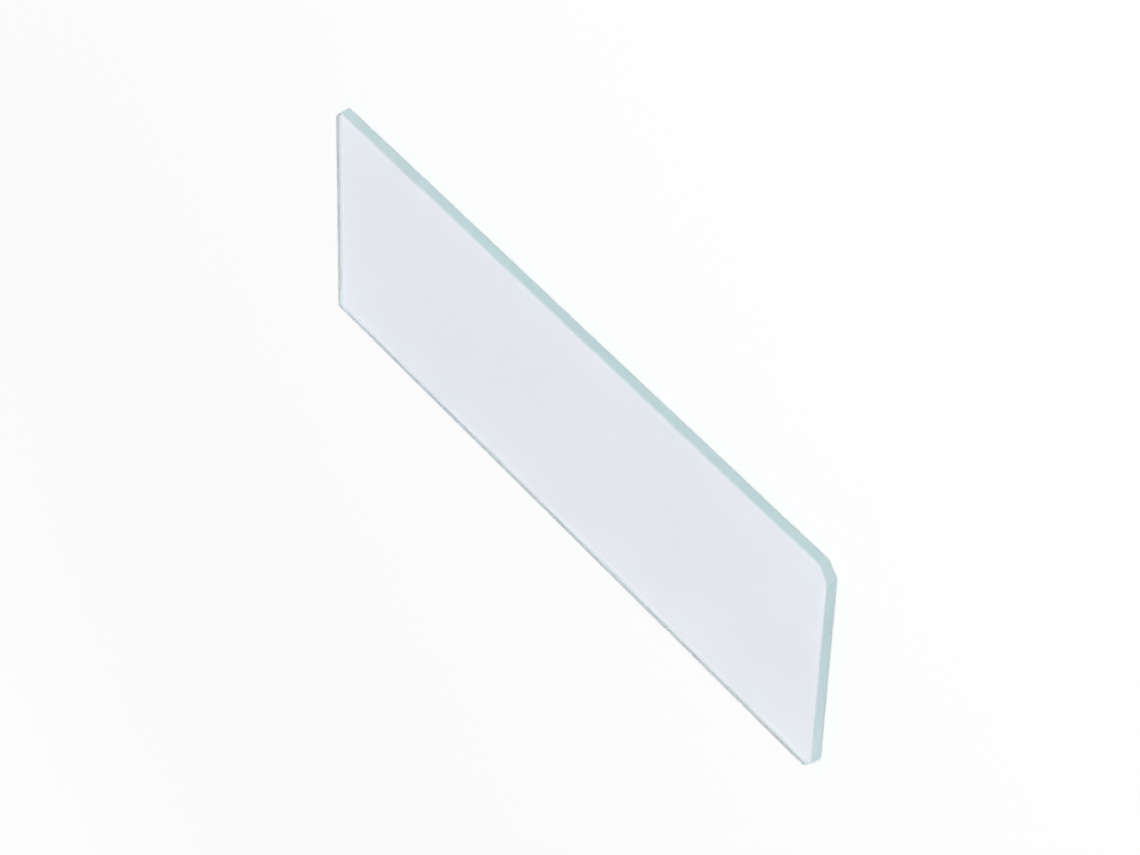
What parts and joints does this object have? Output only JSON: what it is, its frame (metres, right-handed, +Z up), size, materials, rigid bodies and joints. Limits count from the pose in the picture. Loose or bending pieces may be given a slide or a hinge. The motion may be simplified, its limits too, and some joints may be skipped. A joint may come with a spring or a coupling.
{
  "type": "microscope slide",
  "caption": "Plain clear glass microscope slide with bevelled ground edges and small clipped safety corners, lying flat with its working face up.",
  "frame": {"origin": "middle of the face that the slide lies on", "axes": "+X along the length, +Y across the width, +Z up through the thickness, out of the working face"},
  "size_m": [0.0762, 0.0254, 0.0011],
  "materials": {
    "clear_glass": "polished clear float glass with a pale aqua tint seen through the ground edges"
  },
  "bodies": {
    "root": {"glass_slide": "clear_glass"}
  },
  "joints": []
}
